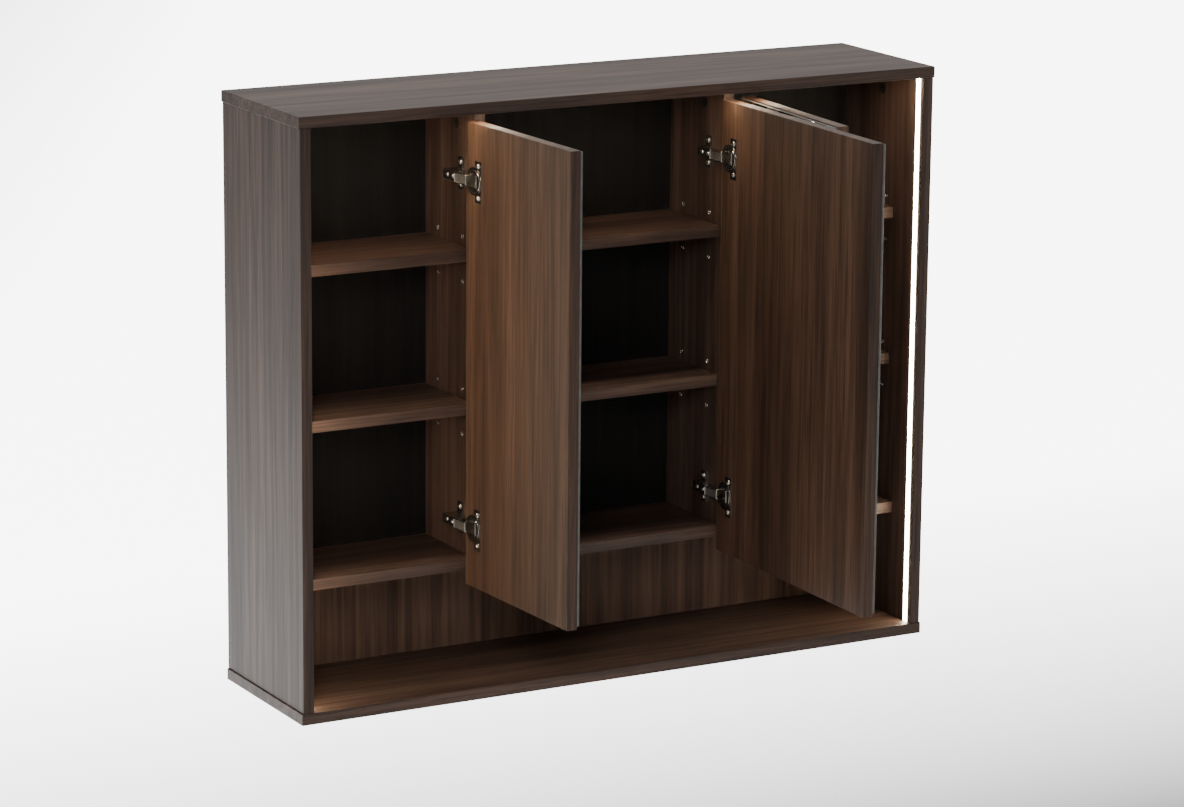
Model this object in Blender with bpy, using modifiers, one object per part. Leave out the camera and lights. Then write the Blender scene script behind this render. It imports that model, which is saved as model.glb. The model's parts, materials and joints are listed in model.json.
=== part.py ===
"""Wall-hung mirror cabinet: three doors over shelved bays, an open niche below, light strips in its border.

Metres, +Z up. X runs along the wall, the wall plane is y = 0 and the doors face -Y. Heights in this file
are measured from the cabinet's underside, and the "cabinet" empty lowers everything so that the world's
origin is the middle of the rear top rail's wall face. Each door is drawn closed, under an empty that stands
on its hinge axis and turns it open.
"""

import math

import bmesh
import bpy
from mathutils import Matrix, Vector

# Outer frame
WIDTH = 1.000
HEIGHT = 0.840
DEPTH = 0.250
BOARD = 0.016
OVERHANG = 0.002  # top and bottom panels stand this far past the sides
EDGE_ROUND = 0.0006
GAP = 0.0003  # between pieces that touch

# Bays, shelves and niche
FRONT_RECESS = 0.056  # divider and floor fronts behind the frame's front
BACK_FACE = 0.044  # back panel's face in front of the wall
BACK_THICKNESS = 0.008
LEFT_BAY = 0.2725
MIDDLE_BAY = 0.378
FLOOR_TOP = 0.188
SHELF_TOPS = {"lower": 0.409, "upper": 0.6255}
SHELF_RECESS = 0.004  # shelf fronts behind the divider fronts
HEEL_RECESS = 0.016  # the same in the right bay, whose door swings its heel inwards
FLOOR_NOTCH = (0.046, 0.012)  # along and into the floor's front, for the same heel
SHELF_SIDE_GAP = 0.0008

# Doors
DOOR_BOTTOM = 0.1545
DOOR_TOP = 0.8075
DOOR_GAP_IN = 0.0045  # closed door's inner face in front of the dividers
DOOR_SIDE_GAP = 0.002
DOOR_GAP = 0.0033  # between the edges of two closed doors
HALF_EDGE = 0.0045  # hinge edge of the left door past its divider's left face
FULL_EDGE = 0.0145  # hinge edge of the middle door past its divider's left face
INSET_EDGE = 0.0018  # hinge edge of the right door past its divider's right face
MIRROR = 0.004
MIRROR_MARGIN = 0.002
MIRROR_FOOT = 0.0035
OPEN_ANGLE = {"left": 92.5, "middle": 89.5, "right": 92.8}

# Cup hinges
HINGE_FROM_TOP = 0.080
HINGE_FROM_BOTTOM = 0.084
AXIS_DEPTH = 0.00975  # axis in front of the closed door's inner face
OVERLAY_AXIS = 0.00975  # axis from the hinge edge, left and middle doors
INSET_AXIS = 0.022  # the same on the right door
CUP_RADIUS = 0.0175
CUP_DEPTH = 0.013
CUP_EDGE = 0.005  # door edge to the cup's bore
CUP_WALL = 0.0007
FLANGE = 0.001
FLANGE_RADIUS = 0.0195
EAR_LENGTH = 0.058
EAR_WIDTH = 0.0165  # from the flange's straight edge, away from the hinge edge, back towards the cup
EAR_STEP = 0.0002  # ears' face below the rim's
PIN_RADIUS = 0.0012
KNUCKLE_RADIUS = 0.0016
KNUCKLE_HALF = 0.0045
ARM_THICKNESS = 0.0016
ARM_DROP = 0.0006  # arm's front limb sits this far in front of the axis
ARM_REACH = {"half": 0.015, "full": 0.015, "inset": 0.0137}
ARM_CROSS = 0.0273  # inset arm crosses to the divider this far behind the axis
CHANNEL_WIDTH = 0.013
CHANNEL_DEPTH = 0.008
CHANNEL_OFF_FACE = {"half": 0.015, "full": 0.005, "inset": 0.005}
CHANNEL_LENGTH = 0.044
CHANNEL_START = {"half": 0.006, "full": 0.006, "inset": 0.0125}  # behind the divider's front
PLATE_SCREWS = 0.037  # screw line behind the divider's front
PLATE_WING = 0.045
PLATE_WING_WIDTH = 0.013
PLATE_THICKNESS = 0.0027

# Light strips
STRIP_LIP = 0.008  # frame front to the strip's channel
STRIP_WIDTH = 0.012
STRIP_DEPTH = 0.0065
STRIP_WALL = 0.001
TAPE_THICKNESS = 0.001
TAPE_WIDTH = 0.008
DIFFUSER_DEPTH = 0.002
DIFFUSER_PROUD = 0.0006

# Wall side
RAIL_HEIGHT = 0.070
KEYHOLE_SPACING = 0.800
KEYHOLE_PLATE = (0.050, 0.040)
KEYHOLE_THICKNESS = 0.002
KEYHOLE_HEAD = 0.0055
KEYHOLE_SHANK = 0.003
KEYHOLE_RISE = 0.012
KEYHOLE_POCKET = (0.020, 0.011, 0.032)
DRIVER_SIZE = (0.150, 0.022, 0.040)
DRIVER_PLACE = (0.300, 0.115)
DRIVER_ROUND = 0.0018
GLAND_RADIUS = 0.006
GLAND_LENGTH = 0.012

CYLINDER_SIDES = 32

# Worked out from the driving dimensions
INNER_X = WIDTH / 2 - OVERHANG - BOARD
CEILING = HEIGHT - BOARD
CARCASS_FRONT = DEPTH - FRONT_RECESS
LEFT_DIVIDER_X = -INNER_X + LEFT_BAY
RIGHT_DIVIDER_X = LEFT_DIVIDER_X + BOARD + MIDDLE_BAY
AXIS_Y = -(CARCASS_FRONT + DOOR_GAP_IN + AXIS_DEPTH)
HANG_HEIGHT = CEILING - GAP - RAIL_HEIGHT / 2  # middle of the rear top rail
HINGE_HEIGHTS = {"upper": DOOR_TOP - HINGE_FROM_TOP, "lower": DOOR_BOTTOM + HINGE_FROM_BOTTOM}

# colour, roughness, metallic
FINISHES = {
    "walnut_board": ((0.070, 0.045, 0.034), 0.55, 0.0),
    "back_board": ((0.020, 0.014, 0.012), 0.65, 0.0),
    "silver_mirror": ((0.90, 0.92, 0.93), 0.03, 1.0),
    "nickel_steel": ((0.60, 0.58, 0.54), 0.28, 1.0),
    "anodised_aluminium": ((0.70, 0.70, 0.71), 0.38, 1.0),
    "opal_plastic": ((0.95, 0.90, 0.82), 0.45, 0.0),
    "circuit_board": ((0.85, 0.84, 0.80), 0.50, 0.0),
    "white_plastic": ((0.75, 0.75, 0.74), 0.48, 0.0),
    "black_plastic": ((0.03, 0.03, 0.03), 0.50, 0.0),
}


def clear_scene():
    for obj in list(bpy.data.objects):
        bpy.data.objects.remove(obj, do_unlink=True)


def new_collection(name):
    collection = bpy.data.collections.new(name)
    bpy.context.scene.collection.children.link(collection)
    return collection


def make_material(name):
    colour, roughness, metallic = FINISHES[name]
    material = bpy.data.materials.new(name)
    material.use_nodes = True
    shader = material.node_tree.nodes["Principled BSDF"]
    shader.inputs["Base Color"].default_value = (*colour, 1.0)
    shader.inputs["Roughness"].default_value = roughness
    shader.inputs["Metallic"].default_value = metallic
    material.diffuse_color = (*colour, 1.0)
    return material


def make_empty(name, location=(0, 0, 0), parent=None, turn=0.0):
    empty = bpy.data.objects.new(name, None)
    empty.location = location
    empty.rotation_euler.z = turn
    empty.parent = parent
    empty.empty_display_size = 0.05
    PARTS.objects.link(empty)
    return empty


def add_object(name, mesh, centre, parent, material):
    """A part when it has a material; without one, a cutter or a shape to be joined on."""
    obj = bpy.data.objects.new(name, mesh)
    obj.location = centre
    obj.parent = parent
    if material:
        if not mesh.materials:
            mesh.materials.append(MATERIALS[material])
        PARTS.objects.link(obj)
    else:
        obj.hide_render = True
        obj.display_type = "WIRE"
        CUTTERS.objects.link(obj)
    return obj


def box(name, low, high, parent, material=None, rounding=0.0):
    """A box between two corners, in its parent's axes."""
    low = Vector(low)
    high = Vector(high)
    mesh = bpy.data.meshes.new(name)
    shape = bmesh.new()
    bmesh.ops.create_cube(shape, size=1.0, matrix=Matrix.Diagonal((*(high - low), 1.0)))
    shape.to_mesh(mesh)
    shape.free()
    obj = add_object(name, mesh, (low + high) / 2, parent, material)
    if rounding:
        bevel = obj.modifiers.new("rounded_edges", "BEVEL")
        bevel.width = rounding
        bevel.segments = 2
    return obj


def cylinder(name, radius, start, end, parent, material=None):
    """A cylinder between two points on its axis, in its parent's axes."""
    start = Vector(start)
    end = Vector(end)
    run = end - start
    mesh = bpy.data.meshes.new(name)
    shape = bmesh.new()
    bmesh.ops.create_cone(
        shape,
        cap_ends=True,
        segments=CYLINDER_SIDES,
        radius1=radius,
        radius2=radius,
        depth=run.length,
        matrix=run.to_track_quat("Z", "Y").to_matrix().to_4x4(),
    )
    shape.to_mesh(mesh)
    shape.free()
    mesh.shade_smooth()
    mesh.set_sharp_from_angle(angle=math.radians(35))
    return add_object(name, mesh, (start + end) / 2, parent, material)


def boolean(target, tool, operation):
    modifier = target.modifiers.new(operation.lower(), "BOOLEAN")
    modifier.operation = operation
    modifier.object = tool


def cut(target, *tools):
    for tool in tools:
        boolean(target, tool, "DIFFERENCE")


def join(target, *tools):
    for tool in tools:
        boolean(target, tool, "UNION")


def baked_mesh(obj, tools):
    """The finished mesh of a prototype about its parent's origin. It and its tools are removed."""
    bpy.context.view_layer.update()
    finished = obj.evaluated_get(bpy.context.evaluated_depsgraph_get())
    mesh = bpy.data.meshes.new_from_object(finished)
    mesh.transform(Matrix.Translation(obj.location))
    for used in (obj, *tools):
        bpy.data.objects.remove(used, do_unlink=True)
    return mesh


# Frame, bays and shelves


def make_outer_frame():
    grooves = strip_grooves()
    for name, low_z in (("bottom_panel", 0.0), ("top_panel", CEILING)):
        low = (-WIDTH / 2, -DEPTH, low_z)
        high = (WIDTH / 2, 0.0, low_z + BOARD)
        panel = box(name, low, high, CABINET, "walnut_board", EDGE_ROUND)
        if name == "top_panel":
            cut(panel, grooves["top"])
    for side, sign in (("left", -1), ("right", 1)):
        edges = sorted((sign * INNER_X, sign * (INNER_X + BOARD)))
        low = (edges[0], -DEPTH + EDGE_ROUND, BOARD + GAP)
        high = (edges[1], 0.0, CEILING - GAP)
        panel = box(f"{side}_side_panel", low, high, CABINET, "walnut_board", EDGE_ROUND)
        cut(panel, grooves[side])


def make_back():
    low = (-INNER_X + GAP, -BACK_FACE, BOARD + GAP)
    high = (INNER_X - GAP, -BACK_FACE + BACK_THICKNESS, CEILING - GAP)
    box("back_panel", low, high, CABINET, "back_board")


def make_dividers():
    for side, x in (("left", LEFT_DIVIDER_X), ("right", RIGHT_DIVIDER_X)):
        low = (x, -CARCASS_FRONT, FLOOR_TOP + GAP)
        high = (x + BOARD, -BACK_FACE - GAP, CEILING - GAP)
        box(f"{side}_divider", low, high, CABINET, "walnut_board", EDGE_ROUND)


def make_floor():
    low = (-INNER_X + GAP, -CARCASS_FRONT, FLOOR_TOP - BOARD)
    high = (INNER_X - GAP, -BACK_FACE - GAP, FLOOR_TOP)
    floor = box("bay_floor", low, high, CABINET, "walnut_board", EDGE_ROUND)
    notch_x = RIGHT_DIVIDER_X + BOARD
    past = BOARD
    low = (notch_x, -CARCASS_FRONT - past, FLOOR_TOP - BOARD - past)
    high = (notch_x + FLOOR_NOTCH[0], -CARCASS_FRONT + FLOOR_NOTCH[1], FLOOR_TOP + past)
    cut(floor, box("heel_notch", low, high, CABINET))


def make_shelves():
    bays = {
        "left": (-INNER_X, LEFT_DIVIDER_X, SHELF_RECESS),
        "middle": (LEFT_DIVIDER_X + BOARD, RIGHT_DIVIDER_X, SHELF_RECESS),
        "right": (RIGHT_DIVIDER_X + BOARD, INNER_X, HEEL_RECESS),
    }
    for bay, (left, right, recess) in bays.items():
        for level, top in SHELF_TOPS.items():
            low = (left + SHELF_SIDE_GAP, -CARCASS_FRONT + recess, top - BOARD)
            high = (right - SHELF_SIDE_GAP, -BACK_FACE - DOOR_SIDE_GAP, top)
            box(f"{bay}_{level}_shelf", low, high, CABINET, "walnut_board", EDGE_ROUND)


# Doors and hinges. Axes: x towards the door's hinge edge, y into the cabinet, origin on the hinge axis.


def make_cup(mirrored, axis_from_edge):
    sign = -1 if mirrored else 1
    middle = axis_from_edge - CUP_EDGE - CUP_RADIUS
    face = AXIS_DEPTH
    outer = CUP_RADIUS - GAP
    inner = outer - CUP_WALL
    base = face - CUP_DEPTH + GAP
    top = face + GAP + FLANGE
    tall = math.sqrt(outer**2 - (abs(middle) + PIN_RADIUS) ** 2) - GAP
    x = sign * middle
    cup = cylinder("cup", outer, (x, base, 0), (x, top - FLANGE / 2, 0), None, "nickel_steel")
    rim = cylinder("rim", FLANGE_RADIUS, (x, face + GAP, 0), (x, top, 0), None)
    ear_x = sorted((x - sign * FLANGE_RADIUS, x - sign * (FLANGE_RADIUS - EAR_WIDTH)))
    ears = box(
        "ears",
        (ear_x[0], face + GAP, -EAR_LENGTH / 2),
        (ear_x[1], top - EAR_STEP, EAR_LENGTH / 2),
        None,
    )
    hollow = cylinder("hollow", inner, (x, base + CUP_WALL, 0), (x, top + FLANGE, 0), None)
    lower_pin = cylinder("lower_pin", PIN_RADIUS, (0, 0, -tall), (0, 0, -KNUCKLE_HALF - GAP), None)
    upper_pin = cylinder("upper_pin", PIN_RADIUS, (0, 0, KNUCKLE_HALF + GAP), (0, 0, tall), None)
    join(cup, rim, ears)
    cut(cup, hollow)
    join(cup, lower_pin, upper_pin)
    return baked_mesh(cup, (rim, ears, hollow, lower_pin, upper_pin))


def divider_face(kind):
    """Where the divider's face that carries the hinge lies, along x from the hinge axis."""
    if kind == "inset":
        return INSET_AXIS + INSET_EDGE
    return OVERLAY_AXIS - (HALF_EDGE if kind == "half" else FULL_EDGE)


def make_arm(kind):
    """The fixed arm: a knuckle in the cup, a limb out of its mouth, and a channel along the divider."""
    sign = -1 if kind == "inset" else 1
    reach = ARM_REACH[kind]
    half = ARM_THICKNESS / 2
    front_y = -ARM_DROP
    divider_front = DOOR_GAP_IN + AXIS_DEPTH
    channel_y = divider_front + CHANNEL_START[kind]
    channel_end = divider_face(kind) - CHANNEL_OFF_FACE[kind]
    channel_x = (channel_end - CHANNEL_DEPTH, channel_end)
    limb_end = ARM_CROSS + half if kind == "inset" else channel_y + CHANNEL_LENGTH / 2

    def arm_box(name, low_x, high_x, low_y, high_y, half_z, material=None):
        xs = sorted((sign * low_x, sign * high_x))
        return box(name, (xs[0], low_y, -half_z), (xs[1], high_y, half_z), None, material)

    arm = arm_box(
        "arm", *channel_x, channel_y, channel_y + CHANNEL_LENGTH, CHANNEL_WIDTH / 2, "nickel_steel"
    )
    knuckle = cylinder("knuckle", KNUCKLE_RADIUS, (0, 0, -KNUCKLE_HALF), (0, 0, KNUCKLE_HALF), None)
    tip_half = KNUCKLE_HALF - GAP
    front = arm_box("front_limb", -reach - half, 0.0, front_y - half, front_y + half, tip_half)
    side_y = front_y - half + GAP
    side = arm_box("side_limb", -reach - half, -reach + half, side_y, limb_end, KNUCKLE_HALF)
    tools = [side, front, knuckle]
    if kind == "inset":
        cross_x = (-reach - half + GAP, channel_x[1] - CHANNEL_DEPTH / 2)
        cross_y = (ARM_CROSS - half, ARM_CROSS + half + GAP)
        tools.insert(0, arm_box("cross_limb", *cross_x, *cross_y, KNUCKLE_HALF + GAP))
    join(arm, *tools)
    return baked_mesh(arm, tools)


def make_mounting_plate(kind):
    """The plate screwed to the divider: two wings for its screws and a pad under the arm's channel."""
    sign = -1 if kind == "inset" else 1
    divider_front = DOOR_GAP_IN + AXIS_DEPTH
    seat = divider_face(kind) - GAP

    def plate_box(name, thickness, low_y, high_y, half_z, material=None):
        xs = sorted((sign * (seat - thickness), sign * seat))
        return box(name, (xs[0], low_y, -half_z), (xs[1], high_y, half_z), None, material)

    wing_start = divider_front + PLATE_SCREWS - PLATE_WING_WIDTH / 2
    wing_end = wing_start + PLATE_WING_WIDTH
    plate = plate_box("plate", PLATE_THICKNESS, wing_start, wing_end, PLATE_WING / 2, "nickel_steel")
    pad_start = divider_front + CHANNEL_START[kind] + GAP
    pad_end = pad_start + CHANNEL_LENGTH - 2 * GAP
    pad_thickness = CHANNEL_OFF_FACE[kind] - 2 * GAP
    pad = plate_box("pad", pad_thickness, pad_start, pad_end, CHANNEL_WIDTH / 2 - GAP)
    join(plate, pad)
    return baked_mesh(plate, [pad])


def make_door(side, hinge_edge_x, free_edge_x, kind):
    """One door, drawn closed about its hinge axis and turned open by its empty, and its two hinges."""
    mirrored = kind == "inset"
    sign = -1 if mirrored else 1
    axis_from_edge = INSET_AXIS if mirrored else OVERLAY_AXIS
    axis_x = hinge_edge_x - sign * axis_from_edge
    turn = sign * math.radians(OPEN_ANGLE[side])
    swing = make_empty(f"{side}_door_axis", (axis_x, AXIS_Y, 0), CABINET, turn)
    fixed = make_empty(f"{side}_hinge_line", (axis_x, AXIS_Y, 0), CABINET)

    edges = sorted((hinge_edge_x - axis_x, free_edge_x - axis_x))
    face = AXIS_DEPTH
    low = (edges[0], face - BOARD, DOOR_BOTTOM)
    high = (edges[1], face, DOOR_TOP)
    board = box(f"{side}_door_board", low, high, swing, "walnut_board", EDGE_ROUND)
    cup_x = sign * (axis_from_edge - CUP_EDGE - CUP_RADIUS)
    for level, height in HINGE_HEIGHTS.items():
        start = (cup_x, face + CUP_DEPTH, height)
        end = (cup_x, face - CUP_DEPTH, height)
        cut(board, cylinder(f"{side}_{level}_cup_bore", CUP_RADIUS, start, end, swing))

    mirror_back = face - BOARD - GAP
    low = (edges[0] + MIRROR_MARGIN, mirror_back - MIRROR, DOOR_BOTTOM + MIRROR_FOOT)
    high = (edges[1] - MIRROR_MARGIN, mirror_back, DOOR_TOP - MIRROR_MARGIN)
    box(f"{side}_door_mirror", low, high, swing, "silver_mirror", EDGE_ROUND)

    for level, height in HINGE_HEIGHTS.items():
        at = (0, 0, height)
        hinge = f"{side}_{level}_hinge"
        cup = "inset_cup" if mirrored else "overlay_cup"
        add_object(f"{hinge}_cup", HINGE_MESHES[cup], at, swing, "nickel_steel")
        add_object(f"{hinge}_arm", HINGE_MESHES[f"{kind}_arm"], at, fixed, "nickel_steel")
        add_object(f"{hinge}_plate", HINGE_MESHES[f"{kind}_plate"], at, fixed, "nickel_steel")


def make_doors():
    left_hinge = LEFT_DIVIDER_X + HALF_EDGE
    middle_hinge = RIGHT_DIVIDER_X + FULL_EDGE
    right_hinge = RIGHT_DIVIDER_X + BOARD + INSET_EDGE
    make_door("left", left_hinge, -INNER_X + DOOR_SIDE_GAP, "half")
    make_door("middle", middle_hinge, left_hinge + DOOR_GAP, "full")
    make_door("right", right_hinge, INNER_X - DOOR_SIDE_GAP, "inset")


# Light strips. Strip axes: x along the strip, y across it, z out of its open face.


def strip_places():
    """Each strip's middle, its three axes and its length."""
    y = -DEPTH + STRIP_LIP + STRIP_WIDTH / 2
    tall = CEILING - BOARD - 2 * GAP
    middle_z = (CEILING + BOARD) / 2
    corner = STRIP_DEPTH + STRIP_WALL
    up = Vector((0, 0, 1))
    right = Vector((1, 0, 0))
    return {
        "left": (Vector((-INNER_X, y, middle_z)), up, right, tall),
        "right": (Vector((INNER_X, y, middle_z)), up, -right, tall),
        "top": (Vector((0, y, CEILING)), right, -up, 2 * (INNER_X - corner)),
    }


def strip_axes(along, out):
    across = out.cross(along)
    return Matrix((along, across, out)).transposed().to_euler()


def strip_grooves():
    """Cutters for the grooves that hold the strips, a gap wider and deeper than their channels."""
    grooves = {}
    for place, (middle, along, out, length) in strip_places().items():
        half_width = STRIP_WIDTH / 2 + GAP
        past = BOARD if place != "top" else GAP
        low = (-length / 2 - past, -half_width, -STRIP_DEPTH - GAP)
        high = (length / 2 + past, half_width, BOARD)
        groove = box(f"{place}_strip_groove", low, high, CABINET)
        turn_strip_piece(groove, middle, along, out)
        grooves[place] = groove
    return grooves


def turn_strip_piece(piece, middle, along, out):
    axes = strip_axes(along, out)
    piece.location = middle + axes.to_matrix() @ piece.location
    piece.rotation_euler = axes


def make_light_strips():
    for place, (middle, along, out, length) in strip_places().items():
        half = length / 2
        half_width = STRIP_WIDTH / 2
        bed = -STRIP_DEPTH + STRIP_WALL
        clear = half_width - STRIP_WALL
        channel = box(
            f"{place}_light_channel",
            (-half, -half_width, -STRIP_DEPTH),
            (half, half_width, 0.0),
            CABINET,
            "anodised_aluminium",
        )
        hollow = box(
            f"{place}_channel_hollow", (-half - BOARD, -clear, bed), (half + BOARD, clear, BOARD), CABINET
        )
        tape = box(
            f"{place}_light_tape",
            (-half + GAP, -TAPE_WIDTH / 2, bed + GAP),
            (half - GAP, TAPE_WIDTH / 2, bed + GAP + TAPE_THICKNESS),
            CABINET,
            "circuit_board",
        )
        diffuser = box(
            f"{place}_light_diffuser",
            (-half + GAP, -clear + GAP, DIFFUSER_PROUD - DIFFUSER_DEPTH),
            (half - GAP, clear - GAP, DIFFUSER_PROUD),
            CABINET,
            "opal_plastic",
            EDGE_ROUND,
        )
        for piece in (channel, hollow, tape, diffuser):
            turn_strip_piece(piece, middle, along, out)
        cut(channel, hollow)


# Wall side


def make_rails():
    half = INNER_X - GAP
    top = CEILING - GAP
    low = (-half, -BOARD, top - RAIL_HEIGHT)
    upper = box("rear_top_rail", low, (half, 0.0, top), CABINET, "walnut_board", EDGE_ROUND)
    foot = BOARD + GAP
    high = (half, 0.0, foot + RAIL_HEIGHT)
    box("rear_bottom_rail", (-half, -BOARD, foot), high, CABINET, "walnut_board", EDGE_ROUND)
    for side, sign in (("left", -1), ("right", 1)):
        make_keyhole_plate(side, sign * KEYHOLE_SPACING / 2, upper)


def make_keyhole_plate(side, x, rail):
    """A steel plate let into the rail's wall face, with a keyhole that drops over a screw head."""
    z = HANG_HEIGHT
    half_x = KEYHOLE_PLATE[0] / 2
    half_z = KEYHOLE_PLATE[1] / 2
    seat = box(
        f"{side}_plate_seat",
        (x - half_x - GAP, -KEYHOLE_THICKNESS - 2 * GAP, z - half_z - GAP),
        (x + half_x + GAP, BOARD, z + half_z + GAP),
        CABINET,
    )
    width, depth, height = KEYHOLE_POCKET
    pocket = box(
        f"{side}_head_pocket",
        (x - width / 2, -depth, z - height / 2),
        (x + width / 2, BOARD, z + height / 2),
        CABINET,
    )
    cut(rail, seat, pocket)

    low = (x - half_x, -KEYHOLE_THICKNESS - GAP, z - half_z)
    plate = box(f"{side}_keyhole_plate", low, (x + half_x, -GAP, z + half_z), CABINET, "nickel_steel")
    head_z = z - KEYHOLE_RISE / 2
    shank_z = z + KEYHOLE_RISE / 2
    head = cylinder(f"{side}_head_hole", KEYHOLE_HEAD, (x, -BOARD, head_z), (x, BOARD, head_z), CABINET)
    low = (x - KEYHOLE_SHANK, -BOARD, head_z)
    slot = box(f"{side}_shank_slot", low, (x + KEYHOLE_SHANK, BOARD, shank_z), CABINET)
    low_end = (x, -BOARD, shank_z)
    rest = cylinder(f"{side}_shank_rest", KEYHOLE_SHANK, low_end, (x, BOARD, shank_z), CABINET)
    cut(plate, head, slot, rest)


def make_driver():
    """The strips' power unit behind the back panel, with the gland for its mains lead."""
    length, depth, height = DRIVER_SIZE
    x, z = DRIVER_PLACE
    back_y = -BACK_FACE + BACK_THICKNESS + GAP
    low = (x - length / 2, back_y, z - height / 2)
    high = (x + length / 2, back_y + depth, z + height / 2)
    box("led_driver", low, high, CABINET, "white_plastic", DRIVER_ROUND)
    start = (high[0] + GAP, back_y + depth / 2, z)
    end = (high[0] + GAP + GLAND_LENGTH, back_y + depth / 2, z)
    cylinder("driver_gland", GLAND_RADIUS, start, end, CABINET, "black_plastic")


clear_scene()
PARTS = new_collection("mirror_cabinet")
CUTTERS = new_collection("cutters")
MATERIALS = {name: make_material(name) for name in FINISHES}
CABINET = make_empty("cabinet", (0, 0, -HANG_HEIGHT))
HINGE_MESHES = {"overlay_cup": make_cup(False, OVERLAY_AXIS), "inset_cup": make_cup(True, INSET_AXIS)}
for hinge_kind in ARM_REACH:
    HINGE_MESHES[f"{hinge_kind}_arm"] = make_arm(hinge_kind)
    HINGE_MESHES[f"{hinge_kind}_plate"] = make_mounting_plate(hinge_kind)

make_outer_frame()
make_back()
make_dividers()
make_floor()
make_shelves()
make_doors()
make_light_strips()
make_rails()
make_driver()
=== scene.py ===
"""The looks of the three-door mirror cabinet: walnut-pattern board, mirrors, hinges, lit strips, fasteners.

Metres, +Z up, in the frame's own axes: X along the wall, wall plane at y = 0, doors towards -Y.
"""

import json
import math

import bmesh
import bpy
from mathutils import Matrix, Vector


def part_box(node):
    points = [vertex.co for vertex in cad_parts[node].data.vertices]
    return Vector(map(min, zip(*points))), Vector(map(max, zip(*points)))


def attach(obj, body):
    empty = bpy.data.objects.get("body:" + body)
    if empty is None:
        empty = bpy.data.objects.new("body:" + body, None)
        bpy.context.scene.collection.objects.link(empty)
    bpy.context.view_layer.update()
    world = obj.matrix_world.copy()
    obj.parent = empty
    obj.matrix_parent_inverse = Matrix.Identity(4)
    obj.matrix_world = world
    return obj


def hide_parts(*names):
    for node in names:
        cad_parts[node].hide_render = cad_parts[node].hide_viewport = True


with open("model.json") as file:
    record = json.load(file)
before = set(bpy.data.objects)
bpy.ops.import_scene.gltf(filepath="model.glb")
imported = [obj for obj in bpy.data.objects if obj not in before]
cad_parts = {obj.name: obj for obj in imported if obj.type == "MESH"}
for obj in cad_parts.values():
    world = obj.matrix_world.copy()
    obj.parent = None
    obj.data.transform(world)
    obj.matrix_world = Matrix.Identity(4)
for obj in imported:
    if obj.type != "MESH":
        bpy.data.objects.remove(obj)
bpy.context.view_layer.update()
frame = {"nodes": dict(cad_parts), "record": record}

# Camera, at the cabinet's near left and above it
CAMERA_LENS = 134.14
CAMERA_YAW = math.radians(28.91)
CAMERA_PITCH = math.radians(-13.29)
CAMERA_ROLL = math.radians(0.51)
CAMERA_PLACE = Vector((-2.9379, -5.4720, 1.8139))  # from the middle of the underside's wall edge
CAMERA_CLIP_END = 100.0

# Studio: the sky is bright behind and above the cabinet and dim in front of it
SKY_TOWARDS = (0.0, 0.92, 0.39)
SKY_SPAN = (-0.5, 0.6)  # cosines from SKY_TOWARDS where the sky is dimmest and brightest
SKY_FRONT = 0.12
SKY_BACK = 0.85
LIGHT_TARGET = (0.0, -0.12, 0.42)  # from the middle of the underside's wall edge
KEY_PLACE = (-3.6, -1.3, 0.9)
KEY_SIZE = (1.6, 1.6)
KEY_POWER = 4
FILL_PLACE = (-2.6, -4.4, 1.7)
FILL_SIZE = (1.2, 1.2)
FILL_POWER = 90
TOP_PLACE = (0.0, -0.3, 2.6)
TOP_SIZE = (2.2, 1.4)
TOP_POWER = 38
FLOOR_HALF = 30.0
FLOOR_DROP = 0.45  # the floor below the cabinet's underside
FLOOR_GLOW = 7.0
GLOW_BEHIND = (0.0, 2.0)  # distances behind the wall plane where the glow starts and is full
GLOW_RIGHTWARD = (0.875, -0.483, 0.0)
GLOW_LEFT = (-3.2, -1.2)  # the same along GLOW_RIGHTWARD, clear of the left side's reflection
LIT_STRENGTH = 46.0

# Walnut decor, as screen colours
WALNUT = ((60, 44, 36), (78, 59, 49), (94, 73, 61))
# The doors' copy is warmer: painted warm light from the lit strips over the same walnut
WALNUT_IN_PAINTED_WARM_LIGHT = ((60, 41, 30), (80, 57, 43), (96, 70, 54))
WALNUT_STOPS = (0.34, 0.50, 0.66)
GRAIN_SHIFT = (3.7, 5.3, 2.9)

# Hardware sizes that the frame doesn't state
PIN_PITCH = 0.032
PIN_INSET = (0.036, 0.110)  # the pins' two columns behind the divider's front
PIN_RADIUS = 0.0025
CAM_BACK = 0.053
CAM_DROP = 0.030
PLATE_SCREW_SPACING = 0.032
PLATE_SCREW_LINE = 0.037
WING_THICKNESS = 0.0027
CHANNEL_DEPTH = 0.008
CHANNEL_GAP = 0.0003
ADJUSTING_SCREWS = (0.014, 0.031)  # along the channel from its front
EAR_SCREW_SPACING = 0.044
KEYHOLE_SCREW_INSET = 0.006
KEYHOLE_SCREW_SINK = 0.0011
GLASS_ROUNDING = 0.0005

# Cup face: the pressed plate in the cup's mouth, and the slot in it that the arm works through
FACE_RADIUS = 0.0162
FACE_SINK = 0.0011
FACE_PROUD = 0.0002
LIP_PROUD = 0.0005
LIP_WIDTH = 0.0010
SLOT_HALF = 0.0080
SLOT_PAST_AXIS = 0.0030
SLOT_PAST_REACH = 0.0042
EAR_BAND = 0.001  # the top part of a cup's flange, which only its ear reaches

# Link covers, from the hinge's axis: the arm's reach, the ends of the outer face and the half height
ARM_REACH = {"left": 0.0150, "middle": 0.0150, "right": 0.0137}
COVER_FRONT = {"left": (0.0168, -0.0014), "middle": (0.0168, -0.0014), "right": (0.0143, 0.0015)}
COVER_BACK = {"left": (0.0200, 0.0275), "middle": (0.0200, 0.0275), "right": (0.0145, 0.0258)}
COVER_HALF = {"left": 0.0074, "middle": 0.0074, "right": 0.0052}
COVER_DEPTH = {"left": 0.0050, "middle": 0.0050, "right": 0.0008}
COVER_ROUNDING = 0.0009
COVER_FRAME = 0.0017
COVER_SINK = 0.0004

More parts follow.
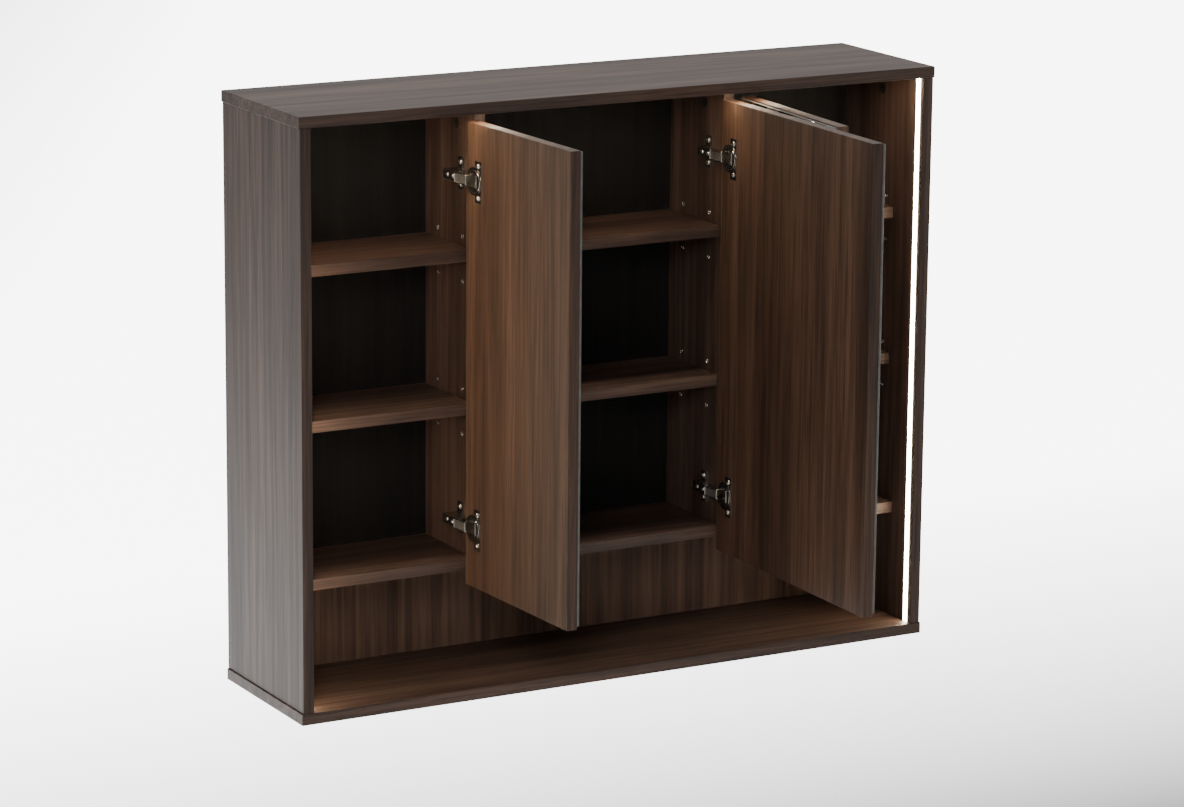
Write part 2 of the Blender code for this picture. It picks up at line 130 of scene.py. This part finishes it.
# Turned outlines, as radius and height
SLEEVE = [(0.0019, -0.0002), (0.0031, -0.0002), (0.0033, 0.0002), (0.0030, 0.0006), (0.0022, 0.0006)]
SLEEVE.append(SLEEVE[0])
PIN = [(0, -0.0002), (0.0040, -0.0002), (0.0040, 0.0008), (0.0025, 0.0012), (0.0025, 0.0070), (0, 0.0078)]
CAM = [(0, -0.0002), (0.0075, -0.0002), (0.0077, 0.0003), (0.0070, 0.0008), (0.0030, 0.0009), (0, 0.0007)]
SCREW_DOME = [(0, -0.10), (0.86, -0.10), (1.0, 0.0), (1.0, 0.16), (0.93, 0.30), (0.72, 0.44), (0, 0.56)]
CUP_SCREW_RADIUS = 0.0036
PLATE_SCREW_RADIUS = 0.0042
ADJUSTING_SCREW_RADIUS = 0.0033
KEYHOLE_SCREW_RADIUS = 0.0022

# Mesh settings
SHARP_ANGLE = math.radians(32)
FACING_COSINE = 0.99

SIDES = {"left": 1, "middle": 1, "right": -1}  # the sign is the x direction from a door to its hinges
LEVELS = ("upper", "lower")
JOINTS = {joint["child"]: joint for joint in frame["record"]["behaviour"]["joints"]}


def corners(node):
    low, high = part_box(node)
    return Vector(low), Vector(high)


UNDERSIDE = corners("bottom_panel")[0].z
CEILING = corners("top_panel")[0].z
DIVIDER_FRONT = corners("left_divider")[0].y


# Node helpers


class Nodes:
    """A material's node tree, with short calls for the nodes that these materials use."""

    def __init__(self, name):
        self.material = bpy.data.materials.new(name)
        self.material.use_nodes = True
        self.tree = self.material.node_tree
        self.shader = self.tree.nodes["Principled BSDF"]

    def add(self, kind, **settings):
        node = self.tree.nodes.new(kind)
        for key, value in settings.items():
            setattr(node, key, value)
        return node

    def link(self, source, target):
        self.tree.links.new(source, target)

    def feed(self, socket, value):
        if isinstance(value, bpy.types.NodeSocket):
            self.link(value, socket)
        else:
            socket.default_value = value

    def coordinates(self, scale=(1, 1, 1), location=(0, 0, 0)):
        source = self.add("ShaderNodeTexCoord")
        mapping = self.add("ShaderNodeMapping")
        mapping.inputs["Scale"].default_value = scale
        mapping.inputs["Location"].default_value = location
        self.link(source.outputs["Object"], mapping.inputs["Vector"])
        return mapping.outputs["Vector"]

    def noise(self, vector, scale, detail=2.0, roughness=0.5, distortion=0.0):
        node = self.add("ShaderNodeTexNoise")
        self.link(vector, node.inputs["Vector"])
        node.inputs["Scale"].default_value = scale
        node.inputs["Detail"].default_value = detail
        node.inputs["Roughness"].default_value = roughness
        node.inputs["Distortion"].default_value = distortion
        return node.outputs["Fac"]

    def ramp(self, factor, stops):
        node = self.add("ShaderNodeValToRGB")
        elements = node.color_ramp.elements
        while len(elements) < len(stops):
            elements.new(0.5)
        for element, (position, colour) in zip(elements, stops):
            element.position = position
            element.color = (*colour, 1.0)
        self.link(factor, node.inputs["Fac"])
        return node.outputs["Color"]

    def grey_ramp(self, factor, low, high, dark=0.0, light=1.0):
        return self.ramp(factor, [(low, (dark,) * 3), (high, (light,) * 3)])

    def mix(self, factor, first, second, blend="MIX"):
        node = self.add("ShaderNodeMix", data_type="RGBA", blend_type=blend)
        self.feed(node.inputs["Factor"], factor)
        self.feed(node.inputs["A"], first)
        self.feed(node.inputs["B"], second)
        return node.outputs["Result"]

    def math(self, operation, first, second):
        node = self.add("ShaderNodeMath", operation=operation)
        self.feed(node.inputs[0], first)
        self.feed(node.inputs[1], second)
        return node.outputs["Value"]

    def bump(self, height, strength, distance):
        node = self.add("ShaderNodeBump")
        node.inputs["Strength"].default_value = strength
        node.inputs["Distance"].default_value = distance
        self.link(height, node.inputs["Height"])
        self.link(node.outputs["Normal"], self.shader.inputs["Normal"])

    def along(self, direction, start, end):
        """Rise from 0 to 1 between two distances along a direction from the object's origin."""
        distance = self.add("ShaderNodeVectorMath", operation="DOT_PRODUCT")
        self.link(self.coordinates(), distance.inputs[0])
        distance.inputs[1].default_value = direction
        return self.spread(distance.outputs["Value"], 0.0, 1.0, start, end)

    def spread(self, factor, low, high, start=0.0, end=1.0):
        """Map a value in the range start to end to the range low to high."""
        node = self.add("ShaderNodeMapRange")
        node.inputs["From Min"].default_value = start
        node.inputs["From Max"].default_value = end
        node.inputs["To Min"].default_value = low
        node.inputs["To Max"].default_value = high
        self.link(factor, node.inputs["Value"])
        return node.outputs["Result"]


def linear(red, green, blue):
    """A screen colour in 0 to 255 as the linear colour that shaders take."""

    def channel(value):
        value = value / 255
        return value / 12.92 if value <= 0.04045 else ((value + 0.055) / 1.055) ** 2.4

    return (channel(red), channel(green), channel(blue))


# Materials


def walnut_stops(shades):
    return [(stop, linear(*shade)) for stop, shade in zip(WALNUT_STOPS, shades)]


def walnut(name, along, seed, shades=WALNUT):
    """Walnut-pattern melamine with its grain along one axis: bands, growth lines, threads and pores."""
    nodes = Nodes(name)
    shift = [seed * part for part in GRAIN_SHIFT]

    def grain(stretch, **noise):
        stretches = [1.0, 1.0, 1.0]
        stretches["xyz".index(along)] = stretch
        return nodes.noise(nodes.coordinates(stretches, shift), **noise)

    bands = grain(0.05, scale=11.0, detail=3.0, roughness=0.55, distortion=0.7)
    lines = grain(0.03, scale=95.0, detail=4.0, roughness=0.62, distortion=0.30)
    threads = grain(0.035, scale=380.0, detail=3.0, roughness=0.60)
    pores = grain(0.022, scale=210.0, detail=2.0, roughness=0.55, distortion=0.15)
    colour = nodes.ramp(bands, walnut_stops(shades))
    colour = nodes.mix(0.90, colour, nodes.grey_ramp(lines, 0.39, 0.60, 0.58, 1.10), "MULTIPLY")
    colour = nodes.mix(0.70, colour, nodes.grey_ramp(threads, 0.38, 0.60, 0.66, 1.10), "MULTIPLY")
    pore_shade = nodes.grey_ramp(pores, 0.33, 0.41, 0.42, 1.0)
    colour = nodes.mix(0.70, colour, pore_shade, "MULTIPLY")
    nodes.link(colour, nodes.shader.inputs["Base Color"])
    nodes.link(nodes.spread(lines, 0.60, 0.42), nodes.shader.inputs["Roughness"])
    nodes.shader.inputs["Specular IOR Level"].default_value = 0.38
    relief = nodes.math("ADD", nodes.math("MULTIPLY", threads, 0.6), pore_shade)
    nodes.bump(relief, 0.22, 0.0004)
    return nodes.material


def back_board(name):
    """The thin back: walnut pattern facing the niche, near black on the rear, and near black in the bays as
    painted shade.
    """
    nodes = Nodes(name)
    lines = nodes.noise(nodes.coordinates((1.0, 1.0, 0.035)), 80.0, 4.0, 0.6, 0.2)
    # Near black: painted shade in the bays, and the rear's dark face
    black = nodes.ramp(lines, [(0.35, linear(9, 7, 5)), (0.65, linear(17, 12, 10))])
    pattern = nodes.ramp(lines, walnut_stops(WALNUT))
    floor_low, floor_high = corners("bay_floor")
    above = nodes.along((0.0, 0.0, 1.0), floor_low.z, floor_high.z)
    front, rear = corners("back_panel")
    behind = nodes.along((0.0, 1.0, 0.0), front.y, rear.y)
    # Painted shade over the bays above the bay floor, and the dark rear
    painted_shade_and_rear = nodes.math("MAXIMUM", above, behind)
    nodes.link(nodes.mix(painted_shade_and_rear, pattern, black), nodes.shader.inputs["Base Color"])
    nodes.link(nodes.spread(lines, 0.75, 0.60), nodes.shader.inputs["Roughness"])
    nodes.shader.inputs["Specular IOR Level"].default_value = 0.25
    nodes.bump(lines, 0.15, 0.0003)
    return nodes.material


def mirror_glass(name):
    """Silvered glass with a faint haze of wiping marks."""
    nodes = Nodes(name)
    haze = nodes.noise(nodes.coordinates((1.0, 1.0, 0.5)), 14.0, 5.0, 0.6, 0.8)
    tint = nodes.ramp(haze, [(0.3, (0.80, 0.84, 0.84)), (0.7, (0.86, 0.89, 0.89))])
    nodes.link(tint, nodes.shader.inputs["Base Color"])
    nodes.shader.inputs["Metallic"].default_value = 1.0
    nodes.link(nodes.spread(haze, 0.015, 0.045), nodes.shader.inputs["Roughness"])
    return nodes.material


def mirror_edge(name):
    """The ground edge of the glass and its painted back: grey-green and dull."""
    nodes = Nodes(name)
    grind = nodes.noise(nodes.coordinates((1.0, 1.0, 0.08)), 900.0, 2.0)
    colour = nodes.ramp(grind, [(0.3, linear(70, 72, 68)), (0.7, linear(104, 104, 98))])
    nodes.link(colour, nodes.shader.inputs["Base Color"])
    nodes.link(nodes.spread(grind, 0.35, 0.55), nodes.shader.inputs["Roughness"])
    nodes.shader.inputs["Coat Weight"].default_value = 0.3
    return nodes.material


def brushed_metal(name, dark, light, low_rough, high_rough, scale=260.0, stretch=(0.08, 1.0, 1.0)):
    """Plated or anodised metal: fine drawing lines over a cloudy tone."""
    nodes = Nodes(name)
    lines = nodes.noise(nodes.coordinates(stretch), scale, 3.0, 0.6)
    cloud = nodes.noise(nodes.coordinates(), 38.0, 3.0, 0.55)
    stops = [(0.3, dark), (0.7, light)]
    colour = nodes.mix(0.5, nodes.ramp(lines, stops), nodes.ramp(cloud, stops))
    nodes.link(colour, nodes.shader.inputs["Base Color"])
    nodes.shader.inputs["Metallic"].default_value = 1.0
    nodes.link(nodes.spread(cloud, low_rough, high_rough), nodes.shader.inputs["Roughness"])
    nodes.bump(lines, 0.12, 0.0001)
    return nodes.material


def moulded_plastic(name, dark, light, low_rough, high_rough):
    """Plastic with a fine moulded texture and a slight mottle."""
    nodes = Nodes(name)
    mottle = nodes.noise(nodes.coordinates(), 55.0, 3.0, 0.5)
    spark = nodes.noise(nodes.coordinates(), 1900.0, 2.0, 0.5)
    nodes.link(nodes.ramp(mottle, [(0.3, dark), (0.7, light)]), nodes.shader.inputs["Base Color"])
    nodes.link(nodes.spread(mottle, low_rough, high_rough), nodes.shader.inputs["Roughness"])
    nodes.bump(spark, 0.15, 0.0001)
    return nodes.material


def lit_diffuser(name, strength):
    """Opal plastic lit from behind: warm white and slightly uneven."""
    nodes = Nodes(name)
    glow = nodes.noise(nodes.coordinates(), 120.0, 1.0, 0.4)
    colour = nodes.ramp(glow, [(0.3, (1.0, 0.80, 0.56)), (0.7, (1.0, 0.86, 0.66))])
    nodes.link(colour, nodes.shader.inputs["Base Color"])
    nodes.link(colour, nodes.shader.inputs["Emission Color"])
    nodes.shader.inputs["Emission Strength"].default_value = strength
    nodes.link(nodes.spread(glow, 0.4, 0.5), nodes.shader.inputs["Roughness"])
    return nodes.material


STEEL = brushed_metal("nickel_steel_finish", (0.46, 0.42, 0.38), (0.68, 0.64, 0.58), 0.16, 0.30)
ZINC = brushed_metal("zinc_cover_finish", (0.30, 0.28, 0.26), (0.44, 0.41, 0.38), 0.42, 0.55, scale=150.0)
ALUMINIUM = brushed_metal(
    "anodised_aluminium_finish",
    (0.55, 0.55, 0.56),
    (0.72, 0.72, 0.73),
    0.30,
    0.45,
    scale=320.0,
    stretch=(1.0, 1.0, 0.05),
)
# The back board's material holds painted shade in the bays
BACK = back_board("back_board_with_painted_shade")
MIRROR = mirror_glass("mirror_glass_finish")
GLASS_EDGE = mirror_edge("mirror_edge_finish")
DIFFUSER = lit_diffuser("opal_diffuser_finish", LIT_STRENGTH)
TAPE = moulded_plastic("circuit_board_finish", (0.74, 0.72, 0.66), (0.86, 0.85, 0.80), 0.45, 0.6)
WHITE = moulded_plastic("white_plastic_finish", (0.66, 0.66, 0.65), (0.76, 0.76, 0.75), 0.42, 0.55)
BLACK = moulded_plastic("black_plastic_finish", (0.018, 0.018, 0.018), (0.035, 0.034, 0.033), 0.40, 0.6)
CAM_COVER = moulded_plastic("cam_cover_finish", linear(14, 10, 8), linear(22, 16, 13), 0.50, 0.65)


# Carried-over CAD nodes


def dress(node, *materials):
    slots = frame["nodes"][node].data.materials
    slots.clear()
    for material in materials:
        slots.append(material)


def dress_boards():
    upright = ("left_side_panel", "right_side_panel", "left_divider", "right_divider")
    doors = tuple(f"{side}_door_board" for side in SIDES)
    level = ("top_panel", "bottom_panel", "bay_floor", "rear_top_rail", "rear_bottom_rail")
    shelves = tuple(node for node in sorted(frame["nodes"]) if node.endswith("_shelf"))
    for seed, node in enumerate(upright + doors):
        # The doors take the walnut with painted warm light from the lit strips
        shades = WALNUT_IN_PAINTED_WARM_LIGHT if node in doors else WALNUT
        dress(node, walnut(f"walnut_{node}", "z", seed + 1, shades))
    for seed, node in enumerate(level + shelves):
        dress(node, walnut(f"walnut_{node}", "x", seed + 11))
    dress("back_panel", BACK)


def dress_hardware():
    for node in sorted(frame["nodes"]):
        if node.endswith("_mirror"):
            dress(node, MIRROR)
        elif "_hinge_" in node or node.endswith("keyhole_plate"):
            dress(node, STEEL)
        elif node.endswith("_light_channel"):
            dress(node, ALUMINIUM)
        elif node.endswith("_light_tape"):
            dress(node, TAPE)
        elif node.endswith("_light_diffuser"):
            dress(node, DIFFUSER)
    dress("led_driver", WHITE)
    dress("driver_gland", BLACK)


# Pieces made here


def new_piece(name, shape, materials, body):
    """A finished mesh that rides on one CAD body."""
    mesh = bpy.data.meshes.new(name)
    bmesh.ops.recalc_face_normals(shape, faces=shape.faces)
    shape.to_mesh(mesh)
    shape.free()
    for material in materials:
        mesh.materials.append(material)
    mesh.shade_smooth()
    mesh.set_sharp_from_angle(angle=SHARP_ANGLE)
    piece = bpy.data.objects.new(name, mesh)
    bpy.context.scene.collection.objects.link(piece)
    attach(piece, body)
    return piece


def rounded_box(shape, low, high, rounding, place=Matrix()):
    """Add a box with rounded edges between two corners, then move it by place."""
    low = Vector(low)
    high = Vector(high)
    grow = Matrix.Translation((low + high) / 2) @ Matrix.Diagonal((*(high - low), 1.0))
    made = bmesh.ops.create_cube(shape, size=1.0, matrix=grow)
    edges = {edge for vertex in made["verts"] for edge in vertex.link_edges}
    rounded = bmesh.ops.bevel(
        shape, geom=list(edges), offset=rounding, segments=3, profile=0.6, affect="EDGES"
    )
    faces = set(rounded["faces"])
    for face in list(faces):
        faces.update(linked for edge in face.edges for linked in edge.link_faces)
    vertices = {vertex for face in faces for vertex in face.verts}
    bmesh.ops.transform(shape, matrix=place, verts=list(vertices))


def turned(shape, profile, place=Matrix(), sides=24):
    """Add a shape turned about its own Z from (radius, height) points, closed where the radius is 0."""
    rings = []
    for radius, height in profile:
        if radius == 0:
            rings.append([shape.verts.new(place @ Vector((0, 0, height)))])
            continue
        ring = []
        for step in range(sides):
            angle = math.tau * step / sides
            point = Vector((radius * math.cos(angle), radius * math.sin(angle), height))
            ring.append(shape.verts.new(place @ point))
        rings.append(ring)
    for lower, upper in zip(rings, rings[1:]):
        for step in range(sides):
            after = (step + 1) % sides
            ring_points = [lower[step % len(lower)], lower[after % len(lower)]]
            ring_points += [upper[after % len(upper)], upper[step % len(upper)]]
            shape.faces.new(list(dict.fromkeys(ring_points)))


def facing(point, outward):
    """A place whose Z points outward."""
    return Matrix.Translation(point) @ Vector(outward).to_track_quat("Z", "Y").to_matrix().to_4x4()


def temporary_object(name, shape):
    mesh = bpy.data.meshes.new(name)
    bmesh.ops.recalc_face_normals(shape, faces=shape.faces)
    shape.to_mesh(mesh)
    shape.free()
    made = bpy.data.objects.new(name, mesh)
    bpy.context.scene.collection.objects.link(made)
    return made


def carved(shape, *steps):
    """The mesh of a shape after Boolean steps, each an operation and the shape it uses."""
    body = temporary_object("body", shape)
    tools = []
    for operation, tool in steps:
        tools.append(temporary_object("tool", tool))
        modifier = body.modifiers.new("step", "BOOLEAN")
        modifier.operation = operation
        modifier.object = tools[-1]
    bpy.context.view_layer.update()
    mesh = bpy.data.meshes.new_from_object(body.evaluated_get(bpy.context.evaluated_depsgraph_get()))
    for used in (body, *tools):
        bpy.data.objects.remove(used, do_unlink=True)
    return mesh


def screw_head_mesh():
    """A low domed head with a cross recess, radius 1 and its seat at z = 0."""
    dome = bmesh.new()
    turned(dome, SCREW_DOME)
    slots = []
    for half_x, half_y in ((0.58, 0.12), (0.12, 0.58)):
        slot = bmesh.new()
        rounded_box(slot, (-half_x, -half_y, 0.22), (half_x, half_y, 0.88), 0.02)
        slots.append(("DIFFERENCE", slot))
    return carved(dome, *slots)


SCREW_HEAD = screw_head_mesh()


def screws(name, places, radius, body):
    """Several equal steel screw heads as one piece; each place has its Z out of the seat."""
    shape = bmesh.new()
    for place in places:
        start = len(shape.verts)
        shape.from_mesh(SCREW_HEAD)
        shape.verts.ensure_lookup_table()
        added = shape.verts[start:]
        bmesh.ops.transform(shape, matrix=place @ Matrix.Scale(radius, 4), verts=added)
    new_piece(name, shape, (STEEL,), body)


# Doors, measured closed about their hinge axes


def door_place(side):
    """The door's own axes at rest: origin on its hinge axis, turned open from the closed position."""
    joint = JOINTS[f"{side}_door"]
    opened = math.radians(-joint["range_deg"][0]) * joint["axis"][2]
    return Matrix.Translation(joint["pos_m"]) @ Matrix.Rotation(opened, 4, "Z")


def closed_box(node, side):
    """A door node's lowest and highest corners in the door's own axes."""
    back = door_place(side).inverted()
    points = [back @ vertex.co for vertex in frame["nodes"][node].data.vertices]
    low = Vector([min(point[axis] for point in points) for axis in range(3)])
    high = Vector([max(point[axis] for point in points) for axis in range(3)])
    return low, high


def make_mirror(side):
    """The glass pane: silvered outside, painted behind, with ground edges."""
    low, high = closed_box(f"{side}_door_mirror", side)
    shape = bmesh.new()
    place = door_place(side)
    rounded_box(shape, low, high, GLASS_ROUNDING, place)
    outward = (place.to_3x3() @ Vector((0, -1, 0))).normalized()
    bmesh.ops.recalc_face_normals(shape, faces=shape.faces)
    for face in shape.faces:
        face.material_index = 0 if face.normal.dot(outward) > FACING_COSINE else 1
    piece = new_piece(
        f"{side}_mirror_glass", shape, (MIRROR, GLASS_EDGE), f"{side}_door"
    )
    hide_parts(f"{side}_door_mirror")


def make_hinge_details(side, level):
    """Cup face, link cover, and the cup's, plate's and arm's screws of one hinge."""
    sign = SIDES[side]
    hinge = f"{side}_{level}_hinge"
    door = door_place(side)
    cup_low, cup_high = closed_box(f"{hinge}_cup", side)
    height = (cup_low.z + cup_high.z) / 2
    ear_x = ear_middle(side, f"{hinge}_cup")
    places = []
    for z in pair(height, EAR_SCREW_SPACING):
        places.append(door @ facing((ear_x, cup_high.y, z), (0, 1, 0)))
    screws(f"{hinge}_cup_screws", places, CUP_SCREW_RADIUS, f"{side}_door")
    make_cup_face(side, hinge, cup_low, cup_high, height)

    plate_low, plate_high = corners(f"{hinge}_plate")
    outer_x = plate_low.x if sign > 0 else plate_high.x
    inner_x = plate_high.x if sign > 0 else plate_low.x
    middle_z = (plate_low.z + plate_high.z) / 2
    into_bay = (-sign, 0, 0)
    wing_x = inner_x - sign * WING_THICKNESS
    places = []
    for z in pair(middle_z, PLATE_SCREW_SPACING):
        places.append(facing((wing_x, DIVIDER_FRONT + PLATE_SCREW_LINE, z), into_bay))
    screws(f"{hinge}_plate_screws", places, PLATE_SCREW_RADIUS, "carcass")

    channel_x = outer_x - sign * (CHANNEL_GAP + CHANNEL_DEPTH)
    places = []
    for offset in ADJUSTING_SCREWS:
        places.append(facing((channel_x, plate_low.y + offset, middle_z), into_bay))
    screws(f"{hinge}_adjusting_screws", places, ADJUSTING_SCREW_RADIUS, "carcass")
    make_link_cover(side, hinge, middle_z)


def pair(middle, spacing):
    """Two heights, the spacing apart, about a middle one."""
    return (middle - 0.5 * spacing, middle + 0.5 * spacing)


def ear_middle(side, node):
    """The x of the screw ears of a hinge cup: the middle of its highest points."""
    back = door_place(side).inverted()
    points = [back @ vertex.co for vertex in frame["nodes"][node].data.vertices]
    top = max(point.z for point in points)
    ears = [point.x for point in points if point.z > top - EAR_BAND]
    return (min(ears) + max(ears)) / 2


def make_cup_face(side, hinge, cup_low, cup_high, height):
    """The plate in the cup's mouth, with a lipped slot for the arm from the closed door to the open one."""
    sign = SIDES[side]
    middle_x = (cup_low.x + cup_high.x) / 2
    bottom = cup_high.y - FACE_SINK
    top = cup_high.y + FACE_PROUD
    rim = 2 * FACE_PROUD
    edge = [(FACE_RADIUS, bottom), (FACE_RADIUS, top - rim), (FACE_RADIUS - rim, top)]
    outline = [(0, bottom), *edge, (0, top)]
    plate = bmesh.new()
    upright = Matrix.Translation((middle_x, 0, height)) @ Matrix.Rotation(-math.pi / 2, 4, "X")
    turned(plate, outline, upright, sides=48)
    ends = sorted((-sign * (ARM_REACH[side] + SLOT_PAST_REACH), sign * SLOT_PAST_AXIS))
    ends[0] = max(ends[0], middle_x - FACE_RADIUS + 2 * LIP_WIDTH)
    ends[1] = min(ends[1], middle_x + FACE_RADIUS - 2 * LIP_WIDTH)

    def block(grow, low_y, high_y, rounding):
        shape = bmesh.new()
        low = (ends[0] - grow, low_y, height - SLOT_HALF - grow)
        high = (ends[1] + grow, high_y, height + SLOT_HALF + grow)
        rounded_box(shape, low, high, rounding)
        return shape

    lip = block(LIP_WIDTH, bottom + rim, top + LIP_PROUD, rim)
    slot = block(0.0, bottom - LIP_WIDTH, top + 4 * LIP_PROUD, LIP_WIDTH)
    shape = bmesh.new()
    shape.from_mesh(carved(plate, ("UNION", lip), ("DIFFERENCE", slot)))
    bmesh.ops.transform(shape, matrix=door_place(side), verts=shape.verts)
    new_piece(f"{hinge}_cup_face", shape, (STEEL,), f"{side}_door")


def make_link_cover(side, hinge, middle_z):
    """The cover pressed over the arm's front limb: a bright frame round a duller panel."""
    sign = SIDES[side]
    axis_x, axis_y = JOINTS[f"{side}_door"]["pos_m"][:2]
    front = Vector((axis_x - sign * COVER_FRONT[side][0], axis_y + COVER_FRONT[side][1], middle_z))
    back = Vector((axis_x - sign * COVER_BACK[side][0], axis_y + COVER_BACK[side][1], middle_z))
    along = (back - front).normalized()
    up = Vector((0, 0, 1))
    out = sign * up.cross(along)
    place = Matrix((along, up, out)).transposed().to_4x4()
    place.translation = front
    half = COVER_HALF[side]
    length = (back - front).length
    depth = COVER_DEPTH[side]
    shape = bmesh.new()
    rounded_box(shape, (0, -half, -depth), (length, half, 0), min(COVER_ROUNDING, depth / 3), place)
    bmesh.ops.recalc_face_normals(shape, faces=shape.faces)
    outward_faces = [face for face in shape.faces if face.normal.dot(out) > FACING_COSINE]
    outer = max(outward_faces, key=lambda face: face.calc_area())
    bmesh.ops.inset_region(shape, faces=[outer], thickness=COVER_FRAME - COVER_ROUNDING, depth=0.0)
    bmesh.ops.inset_region(shape, faces=[outer], thickness=COVER_SINK, depth=-COVER_SINK)
    outer.material_index = 1
    new_piece(f"{hinge}_link_cover", shape, (STEEL, ZINC), "carcass")


# Shelf pins, sleeves and cam covers


def wall_faces():
    """Each bay's two walls, as the x of the face and the direction into the bay."""
    left_low, left_high = corners("left_divider")
    right_low, right_high = corners("right_divider")
    return {
        "left": ((corners("left_side_panel")[1].x, 1), (left_low.x, -1)),
        "middle": ((left_high.x, 1), (right_low.x, -1)),
        "right": ((right_high.x, 1), (corners("right_side_panel")[0].x, -1)),
    }


def make_pins():
    """Sleeves lining the pin holes a step above and below each shelf, and the pins that carry it."""
    for bay, walls in wall_faces().items():
        for level in LEVELS:
            low, high = corners(f"{bay}_{level}_shelf")
            pin_z = low.z - PIN_RADIUS
            sleeves = bmesh.new()
            pins = bmesh.new()
            for x, into in walls:
                for inset in PIN_INSET:
                    y = DIVIDER_FRONT + inset
                    for step in (-1, 1):
                        place = facing((x, y, pin_z + step * PIN_PITCH), (into, 0, 0))
                        turned(sleeves, SLEEVE, place, sides=20)
                    turned(pins, PIN, facing((x, y, pin_z), (into, 0, 0)), sides=20)
            new_piece(f"{bay}_{level}_pin_sleeves", sleeves, (STEEL,), "carcass")
            new_piece(f"{bay}_{level}_shelf_pins", pins, (STEEL,), "carcass")


def make_cam_covers():
    """Dark covers over the cam locks that draw the boards together, one near the top of each wall."""
    covers = bmesh.new()
    for walls in wall_faces().values():
        for x, into in walls:
            place = facing((x, DIVIDER_FRONT + CAM_BACK, CEILING - CAM_DROP), (into, 0, 0))
            turned(covers, CAM, place, sides=28)
    new_piece("cam_covers", covers, (CAM_COVER,), "carcass")


def make_keyhole_screws():
    for side in ("left", "right"):
        low, high = corners(f"{side}_keyhole_plate")
        places = []
        for x in (low.x + KEYHOLE_SCREW_INSET, high.x - KEYHOLE_SCREW_INSET):
            places.append(facing((x, high.y - KEYHOLE_SCREW_SINK, (low.z + high.z) / 2), (0, 1, 0)))
        screws(f"{side}_keyhole_screws", places, KEYHOLE_SCREW_RADIUS, "carcass")


def make_pieces():
    for side in SIDES:
        make_mirror(side)
        for level in LEVELS:
            make_hinge_details(side, level)
    make_pins()
    make_cam_covers()
    make_keyhole_screws()


# Stage


def add_camera():
    data = bpy.data.cameras.new("camera")
    camera = bpy.data.objects.new("camera", data)
    bpy.context.scene.collection.objects.link(camera)
    forward = Vector(
        (
            math.sin(CAMERA_YAW) * math.cos(CAMERA_PITCH),
            math.cos(CAMERA_YAW) * math.cos(CAMERA_PITCH),
            math.sin(CAMERA_PITCH),
        )
    )
    level_right = Vector((math.cos(CAMERA_YAW), -math.sin(CAMERA_YAW), 0.0))
    level_up = level_right.cross(forward)
    turn = Matrix.Rotation(-CAMERA_ROLL, 3, forward)
    right = turn @ level_right
    up = turn @ level_up
    camera.matrix_world = Matrix((right, up, -forward)).transposed().to_4x4()
    camera.location = CAMERA_PLACE + Vector((0, 0, UNDERSIDE))
    data.lens = CAMERA_LENS
    data.clip_end = CAMERA_CLIP_END
    bpy.context.scene.camera = camera


def add_area_light(name, location, size, power):
    """A rectangular light that faces the cabinet's middle."""
    data = bpy.data.lights.new(name, "AREA")
    data.shape = "RECTANGLE"
    data.size = size[0]
    data.size_y = size[1]
    data.energy = power
    light = bpy.data.objects.new(name, data)
    light.location = location
    target = Vector(LIGHT_TARGET) + Vector((0, 0, UNDERSIDE))
    light.rotation_euler = (target - Vector(location)).to_track_quat("-Z", "Y").to_euler()
    bpy.context.scene.collection.objects.link(light)


def add_floor():
    """A pale floor that glows softly behind the cabinet, like a light table."""
    shape = bmesh.new()
    bmesh.ops.create_grid(shape, x_segments=1, y_segments=1, size=FLOOR_HALF)
    mesh = bpy.data.meshes.new("floor")
    shape.to_mesh(mesh)
    shape.free()
    floor = bpy.data.objects.new("floor", mesh)
    floor.location = (0, 0, UNDERSIDE - FLOOR_DROP)
    bpy.context.scene.collection.objects.link(floor)
    nodes = Nodes("pale_floor")
    tone = nodes.noise(nodes.coordinates(), 0.6, 2.0)
    colour = nodes.ramp(tone, [(0.3, (0.90, 0.90, 0.90)), (0.7, (0.93, 0.93, 0.93))])
    nodes.link(colour, nodes.shader.inputs["Base Color"])
    nodes.shader.inputs["Roughness"].default_value = 0.9
    nodes.shader.inputs["Emission Color"].default_value = (1.0, 1.0, 1.0, 1.0)
    behind = nodes.along((0.0, 1.0, 0.0), *GLOW_BEHIND)
    rightward = nodes.along(GLOW_RIGHTWARD, *GLOW_LEFT)
    glow = nodes.math("MULTIPLY", nodes.math("MULTIPLY", behind, rightward), FLOOR_GLOW)
    nodes.link(glow, nodes.shader.inputs["Emission Strength"])
    mesh.materials.append(nodes.material)


def add_sky():
    """A white sky that brightens smoothly towards SKY_TOWARDS."""
    world = bpy.data.worlds.new("studio")
    world.use_nodes = True
    tree = world.node_tree
    direction = tree.nodes.new("ShaderNodeTexCoord")
    gradient = tree.nodes.new("ShaderNodeVectorMath")
    gradient.operation = "DOT_PRODUCT"
    gradient.inputs[1].default_value = SKY_TOWARDS
    brightness = tree.nodes.new("ShaderNodeMapRange")
    brightness.inputs["From Min"].default_value = SKY_SPAN[0]
    brightness.inputs["From Max"].default_value = SKY_SPAN[1]
    brightness.inputs["To Min"].default_value = SKY_FRONT
    brightness.inputs["To Max"].default_value = SKY_BACK
    background = tree.nodes["Background"]
    background.inputs["Color"].default_value = (1.0, 1.0, 1.0, 1.0)
    tree.links.new(direction.outputs["Generated"], gradient.inputs[0])
    tree.links.new(gradient.outputs["Value"], brightness.inputs["Value"])
    tree.links.new(brightness.outputs["Result"], background.inputs["Strength"])
    bpy.context.scene.world = world


def add_stage():
    add_floor()
    add_sky()
    add_area_light("key", KEY_PLACE, KEY_SIZE, KEY_POWER)
    add_area_light("fill", FILL_PLACE, FILL_SIZE, FILL_POWER)
    add_area_light("top", TOP_PLACE, TOP_SIZE, TOP_POWER)


dress_boards()
dress_hardware()
make_pieces()
add_camera()
add_stage()
